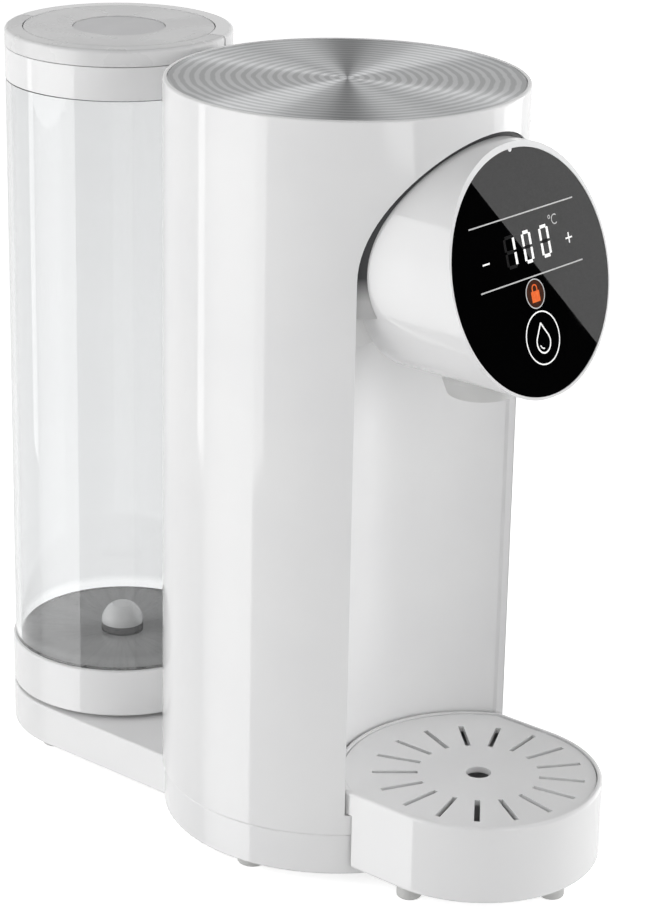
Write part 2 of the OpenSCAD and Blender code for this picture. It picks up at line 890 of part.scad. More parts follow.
module pump_motor() {
    can_z0 = pump_top + motor_flange;
    color(steel) on_pump() difference() {
        union() {
            rod(pump_r, pump_top, can_z0);
            puck(motor_r, can_z0, can_z0 + motor_h, motor_flange);
            rod(motor_nub_r, can_z0 + motor_h - 1, motor_top);
        }
        rod(shaft_r + running, pump_top - 1, pump_top + motor_h);
    }
}

module pump_impeller() {
    z0 = chamber_z0 + pump_lid;
    blade_h = chamber_h - 2 * pump_lid - gap;
    color("ivory") on_pump() {
        rod(impeller_r, z0, z0 + blade_t);
        rod(shaft_r, z0, pump_top + motor_h / 2);
        rod(hub_r, z0, z0 + blade_h);
        for (k = [0:blade_count - 1])
            rotate([0, 0, 360 * k / blade_count]) translate([blade_in, -blade_t / 2, z0])
                rotate([0, 0, blade_turn]) cube([impeller_r - 2 * blade_in, blade_t, blade_h]);
    }
}

module inlet_hose() {
    y0 = pump_in_y - hose_grip + 1;
    y1 = dock_out_y + hose_grip - 1;
    color("lightgray") along_y(y0, duct_z) tube(hose_out, spigot_r + slip, 0, y1 - y0);
}

module pump_hose() {
    x0 = pump_out_x;
    x1 = heater_in_x;
    y0 = pump_out_y;
    y1 = main_y + heater_y;
    z0 = pump_out_z;
    z1 = heater_in_z;
    far = max(x0, x1) + hose_lead;
    color("lightgray") hose([
        [x0 - hose_grip + 1, y0, z0],
        [x0, y0, z0],
        [x0 + hose_in, y0, z0],
        [far - hose_in / 2, y0 - 1, z0 + hose_in],
        [far, y0 - hose_in, z0 + hose_bend],
        [far, (y0 + y1) / 2, (z0 + z1) / 2],
        [far, y1 + hose_in, z1 - hose_bend],
        [far - hose_in / 2, y1 + 1, z1 - hose_in],
        [x1 + hose_in, y1, z1],
        [x1, y1, z1],
        [x1 - hose_grip + 1, y1, z1]], [0, 1, 0]);
}

module power_board() {
    face_y = -board_t / 2;
    color(board_green) translate([0, board_y, 0]) {
        translate([-board_w / 2, face_y, board_z0]) cube([board_w, board_t, board_z1 - board_z0]);
        for (x = [-relay_gap / 2 - relay.x, relay_gap / 2])
            translate([x, face_y - relay.y, board_z1 - relay_drop - relay.z])
                cube([relay.x, relay.y + eps, relay.z]);
        translate([-2 * capacitor_r, face_y, board_z0 + part_rise + capacitor_r]) rotate([90, 0, 0])
            cylinder(h = capacitor_h, r = capacitor_r);
        translate([capacitor_r / 2, face_y - coil.y, board_z0 + part_rise])
            cube([coil.x, coil.y + eps, coil.z]);
    }
}

module board_rails() {
    rail_top = board_z1 + rail_w;
    color(inner_white) for (s = [0, 1]) mirror([s, 0, 0]) difference() {
        translate([rail_x, board_y - rail_d / 2, base_top]) cube([rail_w, rail_d, rail_top - base_top]);
        translate([rail_x - 1, board_y - board_t / 2 - slip, board_z0])
            cube([rail_bite + 1 + slip, board_t + 2 * slip, rail_top]);
    }
}

module cord_gland() {
    color(rubber) along_y(tank_y, duct_z) difference() {
        union() {
            rod(gland_r - slip, gland_y - gland_t, slab_r + gland_out);
            rod(gland_r + gland_flange, gland_y - gland_t, gland_y);
        }
        rod(gland_bore, gland_y - gland_t - 1, slab_r + gland_out + 1);
    }
}

module dock_socket() {
    reach = tank_y - dock_out_y;
    color(inner_white) difference() {
        union() {
            on_tank() rod(dock_r, pan_top, dock_top);
            along_y(dock_out_y, duct_z) rod(spigot_r, 0, reach - dock_bore);
        }
        on_tank() rod(dock_bore, dock_floor, dock_top + 1);
        on_tank() rod(pin_r + slip, pin_z0, dock_floor + 1);
        along_y(dock_out_y - 1, duct_z) rod(spigot_bore, 0, reach - dock_bore + dock_wall);
    }
}

module dock_pin() {
    color(steel) on_tank() puck(pin_r, pin_z0, pin_top, lid_f);
}

module dock_seal() {
    seal_z = dock_top - dock_seal_drop;
    color(rubber) on_tank() tube(dock_bore, nose_r + gap, seal_z, seal_z + dock_seal_t);
}

module tank_wall() {
    guide_z1 = guide_z0 + guide_t;
    color("aliceblue", 0.35) on_tank() difference() {
        union() {
            rod(tank_r, tank_ring_z1 + seam, collar_z0 - seam);
            rod(neck_out, collar_z0 - 1, neck_top);
            rod(tank_foot_r, tank_foot_z, tank_ring_z1 + 1);
            rod(nose_r, nose_z0, tank_foot_z + 1);
        }
        rod(tank_in, tank_floor_z, neck_top + 1);
        rod(nose_bore, guide_z1, tank_floor_z + 1);
        rod(nose_bore, nose_z0 - 1, guide_z0);
        rod(stem_r + running, guide_z0 - 1, guide_z1 + 1);
        for (a = [0:120:240]) rotate([0, 0, a])
            translate([(stem_r + nose_bore) / 2, 0, 0]) rod(guide_hole, guide_z0 - 1, guide_z1 + 1);
    }
}

// Space on the handle's side of the pivot line, or on the other side
module handle_side(x0, x1) {
    rotate([0, 0, handle_turn]) translate([x0, -2 * tank_r, collar_z1 - 1])
        cube([x1 - x0, 4 * tank_r, 2 * (lid_top - collar_z1)]);
}

// Two short round pins on the handle's pivot line, through the lid's rim into the handle
module pivot_bores(r) {
    translate([0, 0, pivot_z]) for (a = [0, 180]) rotate([0, 0, handle_turn + a])
        translate([0, pivot_in - lid_r, 0]) rotate([90, 0, 0]) cylinder(h = pivot_len, r = r);
}

module tank_collar() {
    skin_in = collar_r - collar_skin;
    color(white) on_tank() {
        difference() {
            puck(collar_r, collar_z0, collar_z1, collar_f, collar_f);
            rod(skin_in, collar_z0 - 1, collar_z1 - collar_plate);
            rod(lid_bore, collar_z0, collar_z1 + 1);
        }
        intersection() {
            difference() {
                puck(collar_r, collar_z1 - 1, lid_top, handle_f);
                rod(ring_in, collar_z1 - 2, lid_top + 1);
            }
            handle_side(split_gap, 2 * tank_r);
        }
    }
}

module tank_base_ring() {
    color(white) on_tank() difference() {
        puck(ring_r, tank_ring_z0, tank_ring_z1, edge_f, edge_f);
        rod(ring_r - ring_wall, tank_foot_z, tank_ring_z1 + 1);
        rod(plateau_r - lip_w, tank_ring_z0 - 1, tank_foot_z - shelf_t);
        rod(ring_r - ring_wall, tank_ring_z0 + lip_t, tank_foot_z - shelf_t);
        rod(nose_r + slip, tank_ring_z0, tank_ring_z1);
    }
}

module tank_lid() {
    gasket_z0 = plug_z0 + gasket_rise;
    color(white) on_tank() difference() {
        union() {
            puck(lid_r, lid_z0, lid_top, lid_f);
            rod(plug_r, plug_z0, lid_z0 + 1);
        }
        rod(plug_r - lid_wall, plug_z0 - 1, lid_top - lid_roof);
        rod(inlay_r + gap, lid_top - inlay_t, lid_top + 1);
        tube(plug_r + 1, plug_r - gasket_deep, gasket_z0, gasket_z0 + gasket_h);
        pivot_bores(pivot_r + running);
    }
}

module lid_inlay() {
    color("silver") on_tank() rod(inlay_r, lid_top - inlay_t, lid_top - inlay_sink);
}

module lid_gasket() {
    gasket_z0 = plug_z0 + gasket_rise;
    color(rubber) on_tank() tube(lid_bore - gap, plug_r - gasket_deep, gasket_z0, gasket_z0 + gasket_h);
}

module tank_handle() {
    color(white) on_tank() difference() {
        intersection() {
            difference() {
                puck(collar_r, lid_z0, lid_top, handle_f);
                rod(ring_in, lid_z0 - 1, lid_top + 1);
            }
            handle_side(-2 * tank_r, 0);
        }
        pivot_bores(pivot_r);
    }
}

module handle_pins() {
    color(steel) on_tank() pivot_bores(pivot_r);
}

module valve_poppet() {
    color("whitesmoke") on_tank() {
        rotate_extrude() intersection() {
            translate([0, valve_z0]) circle(valve_r);
            translate([0, valve_z0]) square([valve_r, valve_h]);
        }
        rod(stem_r, stem_z0, valve_z0 + 1);
        rod(clip_r, clip_z0, clip_z0 + clip_h);
    }
}

module valve_gasket() {
    color(rubber) on_tank() tube(valve_r, stem_r, valve_z0 - seal_t, valve_z0);
}

function coil_point(a) =
    [spring_r * cos(a), tank_y + spring_r * sin(a), spring_z0 + spring_wire + spring_rise * a / 360];

module valve_spring() {
    route = [for (k = [0:spring_turns * spring_steps]) coil_point(360 * k / spring_steps)];
    echo(least_coil_gap = spring_rise - 2 * spring_wire);
    color(steel) swept(route, spring_wire, [0, 0, 1], spring_sides);
}

// Tray outline: round front, straight sides and a back that follows the bay wall
module tray_block(inset, z0, z1, f_top = 0, f_low = 0) {
    r = tray_r - inset;
    on_tray() puck(r, z0, z1, f_top, f_low);
    intersection() {
        bar(r, tray_y, tray_y + bay_r, z0, z1, f_top, f_low);
        on_tray() puck(tray_back_r - inset, z0, z1, f_top, f_low);
    }
}

module drip_tray() {
    color(white) difference() {
        tray_block(0, tray_z0, tray_top, tray_edge_f, tray_low_f);
        on_main() rod(tray_clear_r, tray_z0 - 1, shelf_z0);
        difference() {
            tray_block(tray_wall + grate_step, tray_z0 + tray_wall, tray_top + 1);
            on_main() rod(tray_clear_r + tray_wall, tray_z0, shelf_z0 + tray_wall);
        }
        tray_block(tray_wall, grate_z0 - gap, tray_top + 1);
    }
}

module tray_feet() {
    color(inner_white) for (p = tray_feet_places) translate([p.x, p.y, 0]) foot(tray_foot_r, tray_z0);
}

module drip_grate() {
    color(white) difference() {
        tray_block(tray_wall + gap, grate_z0, grate_z1, grate_f);
        on_tray() for (k = [0:slot_count - 1]) rotate([0, 0, slot_start + 360 * k / slot_count])
            translate([slot_in, -slot_w / 2, grate_z0 - 1]) cube([slot_out - slot_in, slot_w, grate_t + 2]);
        on_tray() rod(grate_hole_r, grate_z0 - 1, grate_z1 + 1);
    }
}

base_pan();
base_cover();
feet();
base_screws();
main_shell();
bay_liner();
head_carrier();
top_cap();
top_disc();
head_shell();
head_seal();
touch_glass();
display_board();
spout();
spout_seal();
outlet_hose();
heater_tube();
heater_caps();
heater_bracket();
thermostats();
pump_housing();
pump_motor();
pump_impeller();
inlet_hose();
pump_hose();
power_board();
board_rails();
cord_gland();
dock_socket();
dock_pin();
dock_seal();
tank_wall();
tank_collar();
tank_base_ring();
tank_lid();
lid_inlay();
lid_gasket();
tank_handle();
handle_pins();
valve_poppet();
valve_gasket();
valve_spring();
drip_tray();
tray_feet();
drip_grate();
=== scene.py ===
"""Looks of an instant hot water dispenser: camera, light, materials and the signs on its touch glass."""

import json
import math

import bmesh
import bpy
from mathutils import Matrix, Vector


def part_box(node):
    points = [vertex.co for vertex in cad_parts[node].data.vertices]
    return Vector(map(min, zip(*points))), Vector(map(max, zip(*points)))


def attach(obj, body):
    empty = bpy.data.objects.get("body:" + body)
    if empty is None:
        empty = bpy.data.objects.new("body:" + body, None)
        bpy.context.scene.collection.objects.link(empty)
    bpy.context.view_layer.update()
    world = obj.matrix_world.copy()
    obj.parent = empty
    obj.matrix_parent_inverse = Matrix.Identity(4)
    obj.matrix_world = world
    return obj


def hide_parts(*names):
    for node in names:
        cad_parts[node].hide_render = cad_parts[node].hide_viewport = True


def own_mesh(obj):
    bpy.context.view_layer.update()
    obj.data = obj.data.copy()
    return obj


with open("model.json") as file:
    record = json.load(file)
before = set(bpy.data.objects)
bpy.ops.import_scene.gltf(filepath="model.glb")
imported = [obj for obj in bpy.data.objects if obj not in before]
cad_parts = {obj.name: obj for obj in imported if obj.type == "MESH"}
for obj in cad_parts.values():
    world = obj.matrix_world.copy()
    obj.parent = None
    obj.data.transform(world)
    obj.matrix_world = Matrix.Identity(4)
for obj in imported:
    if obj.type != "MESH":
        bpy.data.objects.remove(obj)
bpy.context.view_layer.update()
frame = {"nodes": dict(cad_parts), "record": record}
NODES = frame["nodes"]
MM = 0.001

# Photograph and camera: the picture's height in pixels, and the camera fitted to the column's axis
PHOTO_H = 910
SENSOR_MM = 36
FOCAL_PX = 2944.2
CAMERA_FROM_AXIS = Vector((-840.3, -701.3, 560.5)) * MM
CAMERA_HEADING = math.radians(-49.868)
CAMERA_PITCH = math.radians(20.345)
CAMERA_ROLL = math.radians(1.143)

# Places that the frame gives
SHELL_LOW, SHELL_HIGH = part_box("main_shell")
COLUMN_R = (SHELL_HIGH.x - SHELL_LOW.x) / 2
COLUMN_Y = SHELL_HIGH.y - COLUMN_R
DISC_LOW, DISC_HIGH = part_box("top_disc")
SEAL_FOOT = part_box("head_seal")[0].z
TANK_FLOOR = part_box("valve_gasket")[0].z
GLASS_LOW, GLASS_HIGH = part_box("touch_glass")
GLASS_TILT = math.radians(15.8)
GLASS_T = 2.8 * MM
GLASS_RIGHT = Vector((1, 0, 0))
GLASS_UP = Vector((0, math.sin(GLASS_TILT), math.cos(GLASS_TILT)))
GLASS_OUT = Vector((0, -math.cos(GLASS_TILT), math.sin(GLASS_TILT)))
GLASS_MIDDLE = (GLASS_LOW + GLASS_HIGH) / 2 + GLASS_OUT * GLASS_T / 2


def in_scene(name, data):
    """New object in the scene for a mesh, a curve, a lamp or a camera."""
    thing = bpy.data.objects.new(name, data)
    bpy.context.scene.collection.objects.link(thing)
    return thing


def make_camera():
    """Camera at the photograph's place, angle and field of view."""
    heading, pitch, roll = CAMERA_HEADING, CAMERA_PITCH, CAMERA_ROLL
    forward = Vector((
        -math.sin(heading) * math.cos(pitch),
        math.cos(heading) * math.cos(pitch),
        -math.sin(pitch),
    ))
    level = Vector((math.cos(heading), math.sin(heading), 0))
    upright = level.cross(forward)
    right = math.cos(roll) * level + math.sin(roll) * upright
    up = math.cos(roll) * upright - math.sin(roll) * level
    data = bpy.data.cameras.new("camera")
    data.sensor_width = SENSOR_MM
    data.lens = FOCAL_PX * SENSOR_MM / PHOTO_H
    camera = in_scene("camera", data)
    turn = Matrix((right, up, -forward)).transposed().to_4x4()
    camera.matrix_world = Matrix.Translation(Vector((0, COLUMN_Y, 0)) + CAMERA_FROM_AXIS) @ turn
    bpy.context.scene.camera = camera


# Materials

WHITE_DARK, WHITE_LIGHT = (0.83, 0.83, 0.835), (0.86, 0.86, 0.86)
METAL_DARK, METAL_LIGHT = (0.42, 0.425, 0.43), (0.57, 0.575, 0.58)
RUBBER_DARK, RUBBER_LIGHT = (0.03, 0.03, 0.032), (0.055, 0.055, 0.055)
# Pale lower end of the painted shade on the head's seal
GAP_SHADE_PALE = (0.5, 0.5, 0.5)
DOME_DARK, DOME_LIGHT = (0.8, 0.8, 0.8), (0.88, 0.88, 0.88)
GLASS_DARK, GLASS_LIGHT = (0.0005, 0.0005, 0.0006), (0.001, 0.001, 0.0012)
# The tank's colour turns from the clear tint to a darker one above its floor: painted shade for the darker
# reflections in its walls
CLEAR_TINT, SHADE_TINT = (0.995, 1, 1), (0.82, 0.825, 0.828)
MURK = (0.2, 0.23, 0.24, 1)
# Height above the tank's floor over which its painted shade sets in
SHADE_TINT_RISE = 8 * MM
# Height over which the painted shade on the head's seal turns from pale to dark
GAP_SHADE_FADE = 22 * MM


def new_material(name):
    """A node material, its tree and its surface shader."""
    material = bpy.data.materials.new(name)
    material.use_nodes = True
    return material, material.node_tree, material.node_tree.nodes["Principled BSDF"]


def place_on(tree):
    """Coordinates in metres in the shared frame."""
    return tree.nodes.new("ShaderNodeTexCoord").outputs["Object"]


def noise(tree, scale, detail=3, roughness=0.5):
    """Value of a noise whose lumps are about 1 / scale metres wide."""
    node = tree.nodes.new("ShaderNodeTexNoise")
    node.inputs["Scale"].default_value = scale
    node.inputs["Detail"].default_value = detail
    node.inputs["Roughness"].default_value = roughness
    tree.links.new(place_on(tree), node.inputs["Vector"])
    return node.outputs["Fac"]


def spread(tree, value, low, high, start=0.3, end=0.7):
    """Maps a value from start..end to low..high."""
    node = tree.nodes.new("ShaderNodeMapRange")
    node.inputs["From Min"].default_value = start
    node.inputs["From Max"].default_value = end
    node.inputs["To Min"].default_value = low
    node.inputs["To Max"].default_value = high
    tree.links.new(value, node.inputs["Value"])
    return node.outputs["Result"]


def along(tree, axis, low, high, start, end, source=None):
    """Maps one coordinate, X, Y or Z, from start..end to low..high."""
    node = tree.nodes.new("ShaderNodeSeparateXYZ")
    tree.links.new(source or place_on(tree), node.inputs["Vector"])
    return spread(tree, node.outputs[axis], low, high, start, end)


def two_tones(tree, value, dark, light):
    """Colour that runs from dark to light with a value."""
    node = tree.nodes.new("ShaderNodeValToRGB")
    node.color_ramp.elements[0].position = 0.3
    node.color_ramp.elements[1].position = 0.7
    node.color_ramp.elements[0].color = (*dark, 1)
    node.color_ramp.elements[1].color = (*light, 1)
    tree.links.new(value, node.inputs["Fac"])
    return node.outputs["Color"]


def add_bump(tree, shader, height, strength, distance):
    """Raises the surface by a height value."""
    node = tree.nodes.new("ShaderNodeBump")
    node.inputs["Strength"].default_value = strength
    node.inputs["Distance"].default_value = distance
    tree.links.new(height, node.inputs["Height"])
    tree.links.new(node.outputs["Normal"], shader.inputs["Normal"])


def moulded(name, dark, light, rough, grain, bump, metal=0.0, drift=0.045, through=0.0):
    """Moulded, drawn or pressed surface: slight cloud in its colour, uneven gloss and a fine grain."""
    material, tree, shader = new_material(name)
    shader.inputs["Metallic"].default_value = metal
    shader.inputs["Transmission Weight"].default_value = through
    tree.links.new(two_tones(tree, noise(tree, 22), dark, light), shader.inputs["Base Color"])
    gloss = spread(tree, noise(tree, 60), rough - drift, rough + drift)
    tree.links.new(gloss, shader.inputs["Roughness"])
    add_bump(tree, shader, noise(tree, grain), bump, 0.0001)
    return material


def clear(name, shade_low, shade_high, high_rough, ior, murk):
    """Clear plastic whose colour darkens above a height. This is painted shade that stands in for darker
    reflections in its walls, while the dimly lit floor below keeps the clear colour. Murk per metre dims
    long ways through it.
    """
    material, tree, shader = new_material(name)
    shader.inputs["Transmission Weight"].default_value = 1.0
    shader.inputs["IOR"].default_value = ior
    tint = two_tones(tree, along(tree, "Z", 0, 1, shade_low, shade_high), CLEAR_TINT, SHADE_TINT)
    tree.links.new(tint, shader.inputs["Base Color"])
    tree.links.new(spread(tree, noise(tree, 40), 0, high_rough), shader.inputs["Roughness"])
    add_bump(tree, shader, noise(tree, 30), 0.03, 0.0005)
    absorb = tree.nodes.new("ShaderNodeVolumeAbsorption")
    absorb.inputs["Color"].default_value = MURK
    absorb.inputs["Density"].default_value = murk
    tree.links.new(absorb.outputs["Volume"], tree.nodes["Material Output"].inputs["Volume"])
    return material


def spun_metal(name, middle):
    """Metal turned on a lathe about the vertical axis through middle, with fine rings."""
    material, tree, shader = new_material(name)
    shader.inputs["Metallic"].default_value = 1.0
    shader.inputs["Anisotropic"].default_value = 1.0
    shader.inputs["Anisotropic Rotation"].default_value = 0.25
    tangent = tree.nodes.new("ShaderNodeTangent")
    tangent.direction_type = "RADIAL"
    tangent.axis = "Z"
    tree.links.new(tangent.outputs["Tangent"], shader.inputs["Tangent"])
    shift = tree.nodes.new("ShaderNodeMapping")
    shift.inputs["Location"].default_value = -middle
    tree.links.new(place_on(tree), shift.inputs["Vector"])
    rings = []
    for scale, distortion in ((420, 0.6), (80, 2.0)):
        wave = tree.nodes.new("ShaderNodeTexWave")
        wave.wave_type = "RINGS"
        wave.rings_direction = "Z"
        wave.inputs["Scale"].default_value = scale
        wave.inputs["Distortion"].default_value = distortion
        wave.inputs["Detail"].default_value = 2
        tree.links.new(shift.outputs["Vector"], wave.inputs["Vector"])
        rings.append(wave.outputs["Fac"])
    fine, broad = rings
    tree.links.new(two_tones(tree, broad, METAL_DARK, METAL_LIGHT), shader.inputs["Base Color"])
    tree.links.new(spread(tree, fine, 0.5, 0.56, 0, 1), shader.inputs["Roughness"])
    add_bump(tree, shader, fine, 0.05, 0.00005)
    return material


def rubber_with_painted_shade(name, low, high):
    """Painted shade: dark rubber that turns paler from a height down to a lower one. It stands in for the
    shade in the narrow gap round the head, which is darkest where the gap is narrow.
    """
    material, tree, shader = new_material(name)
    tone = two_tones(tree, along(tree, "Z", 0, 1, low, high), GAP_SHADE_PALE, RUBBER_DARK)
    tree.links.new(tone, shader.inputs["Base Color"])
    tree.links.new(spread(tree, noise(tree, 60), 0.56, 0.68), shader.inputs["Roughness"])
    add_bump(tree, shader, noise(tree, 1400), 0.3, 0.0001)
    return material


def lit_sign(name, dark, light, glow):
    """Lit or printed sign: its colour drifts slightly and it glows a little."""
    material, tree, shader = new_material(name)
    tone = two_tones(tree, noise(tree, 700), dark, light)
    tree.links.new(tone, shader.inputs["Base Color"])
    tree.links.new(tone, shader.inputs["Emission Color"])
    shader.inputs["Emission Strength"].default_value = glow
    shader.inputs["Specular IOR Level"].default_value = 0.05
    tree.links.new(spread(tree, noise(tree, 900), 0.3, 0.4), shader.inputs["Roughness"])
    return material


# One finish for each material slot of the record: colours, roughness, grain, bump
FINISHES = {
    "white_gloss": moulded("white_gloss", WHITE_DARK, WHITE_LIGHT, 0.07, 900, 0.015, drift=0.02),
    "lid_white": moulded("lid_white", (0.72, 0.72, 0.725), (0.76, 0.76, 0.76), 0.28, 2400, 0.1),
    "white_inner": moulded("white_inner", (0.72, 0.72, 0.72), (0.8, 0.8, 0.79), 0.42, 1600, 0.12),
    "inlay_grey": moulded("inlay_grey", (0.66, 0.66, 0.67), (0.71, 0.71, 0.72), 0.36, 2600, 0.12),
    "spun_metal": spun_metal("spun_metal", (DISC_LOW + DISC_HIGH) / 2),
    "black_glass": moulded("black_glass", GLASS_DARK, GLASS_LIGHT, 0.012, 300, 0.002, drift=0.008),
    # The tank's colour darkens above its floor as painted shade, and the dim floor keeps the clear colour
    "clear_tank": clear("clear_tank", TANK_FLOOR, TANK_FLOOR + SHADE_TINT_RISE, 0.03, 1.49, 14.0),
    "spout_frost": moulded("spout_frost", (0.7, 0.7, 0.7), (0.8, 0.8, 0.79), 0.4, 900, 0.1, through=0.25),
    "pale_rubber": moulded("pale_rubber", (0.55, 0.55, 0.54), (0.66, 0.66, 0.65), 0.6, 1400, 0.2),
    "rubber": moulded("rubber", RUBBER_DARK, RUBBER_LIGHT, 0.62, 1400, 0.3),
    "silicone": moulded("silicone", (0.7, 0.7, 0.68), (0.78, 0.78, 0.76), 0.45, 1500, 0.1),
    "steel": moulded("steel", (0.5, 0.5, 0.51), (0.64, 0.64, 0.65), 0.28, 2200, 0.1, 1.0),
    "motor_metal": moulded("motor_metal", (0.38, 0.38, 0.4), (0.5, 0.5, 0.52), 0.36, 1500, 0.1, 1.0),
    "dark_plastic": moulded("dark_plastic", (0.03, 0.03, 0.034), (0.06, 0.06, 0.064), 0.48, 1300, 0.2),
    "pale_plastic": moulded("pale_plastic", (0.76, 0.76, 0.74), (0.83, 0.83, 0.81), 0.36, 1500, 0.1),
    "circuit_board": moulded("circuit_board", (0.015, 0.1, 0.05), (0.03, 0.17, 0.08), 0.4, 700, 0.3),
}
# Nodes whose finish differs from that of their slot
OWN_FINISHES = {
    "bay_liner": moulded("white_satin", WHITE_DARK, WHITE_LIGHT, 0.36, 1500, 0.06),
    "valve_poppet": moulded("dome_frost", DOME_DARK, DOME_LIGHT, 0.12, 900, 0.02, through=0.35),
    # The seal's colour is painted shade: dark where the gap round the head is narrow, paler lower down
    "head_seal": rubber_with_painted_shade("seal_painted_shade", SEAL_FOOT, SEAL_FOOT + GAP_SHADE_FADE),
}
SIGN_WHITE = lit_sign("sign_white", (0.74, 0.74, 0.73), (0.85, 0.85, 0.84), 0.5)
SIGN_LINE = lit_sign("sign_line", (0.45, 0.45, 0.45), (0.55, 0.55, 0.55), 0.25)
SIGN_GHOST = lit_sign("sign_ghost", (0.008, 0.008, 0.009), (0.014, 0.014, 0.014), 0)
SIGN_ORANGE = lit_sign("sign_orange", (0.68, 0.1, 0.02), (0.8, 0.16, 0.03), 0.3)
SIGN_EMBER = lit_sign("sign_ember", (0.03, 0.008, 0.003), (0.06, 0.016, 0.005), 0.2)

for subpart in frame["record"]["subparts"]:
    slots = NODES[subpart["node"]].data.materials
    slots.clear()
    slots.append(OWN_FINISHES.get(subpart["node"]) or FINISHES[subpart["material_slot"]])
# Clear plastic lets the lamps' light through
NODES["tank_wall"].visible_shadow = False


# Valve spring: a coil of round wire between the clip on the valve's stem and the tank's floor, carried
# with the valve

SPRING_WIRE_R = 0.4 * MM
SPRING_TURNS = 6
TURN_STEPS = 24


def coil_spring(name, node, body):
    """Round wire wound to fill a node's box; the whole coil rides the body."""
    low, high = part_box(node)
    middle = (low + high) / 2
    radius = (high.x - low.x) / 2 - SPRING_WIRE_R
    foot, rise = low.z + SPRING_WIRE_R, high.z - low.z - 2 * SPRING_WIRE_R
    steps = SPRING_TURNS * TURN_STEPS
    wire = bpy.data.curves.new(name, "CURVE")
    wire.dimensions = "3D"
    wire.bevel_depth = SPRING_WIRE_R
    wire.use_fill_caps = True
    line = wire.splines.new("POLY")
    line.points.add(steps)
    for i, point in enumerate(line.points):
        turn = math.tau * i / TURN_STEPS
        x, y = middle.x + radius * math.cos(turn), middle.y + radius * math.sin(turn)
        point.co = (x, y, foot + rise * i / steps, 1)
    drawn = in_scene(name, wire)
    solid = bpy.data.meshes.new_from_object(drawn.evaluated_get(bpy.context.evaluated_depsgraph_get()))
    bpy.data.objects.remove(drawn)
    solid.materials.clear()
    solid.materials.append(FINISHES["steel"])
    piece = in_scene(name, solid)
    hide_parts(node)
    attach(piece, body)
    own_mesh(piece)


coil_spring("valve_coil", node="valve_spring", body="valve")


# Signs on the touch glass: thin plates, placed in millimetres from the glass's middle

SIGN_T = 0.06
DIGIT_LOW, DIGIT_HIGH = 4.1, 15.0
DIGITS = ((-12.8, -7.5), (-2.0, 2.2), (8.5, 13.0))
BAR_W, BAR_CUT = 1.25, 0.5
DEGREE, DEGREE_R, DEGREE_W = (15.4, 17.6), 0.6, 0.32
CELSIUS, CELSIUS_R, CELSIUS_W = (18.5, 16.3), 1.75, 0.42
CELSIUS_OPEN = 50
LINE_W = 0.5
LINES = ((31.4, 22.0), (31.0, -1.6))
MARK_W, MARK_HALF = 0.6, 2.0
MINUS, PLUS = Vector((-25.2, 8.1)), Vector((25.1, 7.9))
LOCK, LOCK_R, LOCK_RING_W = Vector((-0.4, -8.0)), 5.4, 0.42
BODY_W, BODY_H, BODY_DROP = 4.8, 4.1, 1.05
SHACKLE_R, SHACKLE_LIFT, SHACKLE_W = 1.35, 2.0, 0.55
KEY, KEY_R, KEY_RING_W = Vector((-0.5, -24.6)), 9.8, 0.5
DROP_R, DROP_TIP, DROP_W = 4.0, 7.2, 0.6
DROP = KEY - Vector((0, (DROP_TIP - DROP_R) / 2))
SHINE_R, SHINE_W = 0.58 * DROP_R, 0.5
SHINE_START, SHINE_END = 200, 270


def on_glass(x, v, height=0.0):
    """Point on the glass, x to the right and v up the slope, in millimetres."""
    return GLASS_MIDDLE + (GLASS_RIGHT * x + GLASS_UP * v + GLASS_OUT * height) * MM


def plates(name, outlines, material, thick=SIGN_T):
    """Thin closed plates on the glass, one for each outline, which is a list of (x, v) points."""
    mesh = bmesh.new()
    for outline in outlines:
        low = [mesh.verts.new(on_glass(x, v)) for x, v in outline]
        high = [mesh.verts.new(on_glass(x, v, thick)) for x, v in outline]
        mesh.faces.new(high)
        mesh.faces.new(low[::-1])
        for i, corner in enumerate(low):
            after = (i + 1) % len(low)
            mesh.faces.new((corner, low[after], high[after], high[i]))
    bmesh.ops.recalc_face_normals(mesh, faces=mesh.faces)
    data = bpy.data.meshes.new(name)
    mesh.to_mesh(data)
    mesh.free()
    data.materials.append(material)
    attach(in_scene(name, data), "housing")


def stroke(x0, v0, x1, v1, width):
    """Outline of a straight stroke with square ends."""
    start, end = Vector((x0, v0)), Vector((x1, v1))
    way = (end - start).normalized()
    side = Vector((-way.y, way.x)) * width / 2
    return [start - side, end - side, end + side, start + side]


def arc(x, v, radius, width, start=0, end=360, steps=48):
    """Outlines of the short plates that make up a ring or a part of one."""
    angles = [math.radians(start + (end - start) * i / steps) for i in range(steps + 1)]
    inner, outer = radius - width / 2, radius + width / 2
    return [
        [
            (x + inner * math.cos(a), v + inner * math.sin(a)),
            (x + outer * math.cos(a), v + outer * math.sin(a)),
            (x + outer * math.cos(b), v + outer * math.sin(b)),
            (x + inner * math.cos(b), v + inner * math.sin(b)),
        ]
        for a, b in zip(angles, angles[1:])
    ]


def disc(x, v, radius, steps=48):
    """Outline of a round plate."""
    turns = [math.tau * i / steps for i in range(steps)]
    return [(x + radius * math.cos(turn), v + radius * math.sin(turn)) for turn in turns]


def digit(sides, lit):
    """Outlines of some bars of a seven-bar digit; lit names them a to g, clockwise from the top."""
    x0, x1 = sides
    v0, v1, cut = DIGIT_LOW, DIGIT_HIGH, BAR_CUT
    middle = (v0 + v1) / 2
    bars = {
        "a": (x0 + cut, v1, x1 - cut, v1),
        "b": (x1, v1 - cut, x1, middle + cut),
        "c": (x1, middle - cut, x1, v0 + cut),
        "d": (x0 + cut, v0, x1 - cut, v0),
        "e": (x0, middle - cut, x0, v0 + cut),
        "f": (x0, v1 - cut, x0, middle + cut),
        "g": (x0 + cut, middle, x1 - cut, middle),
    }
    return [stroke(*bars[bar], BAR_W) for bar in lit]


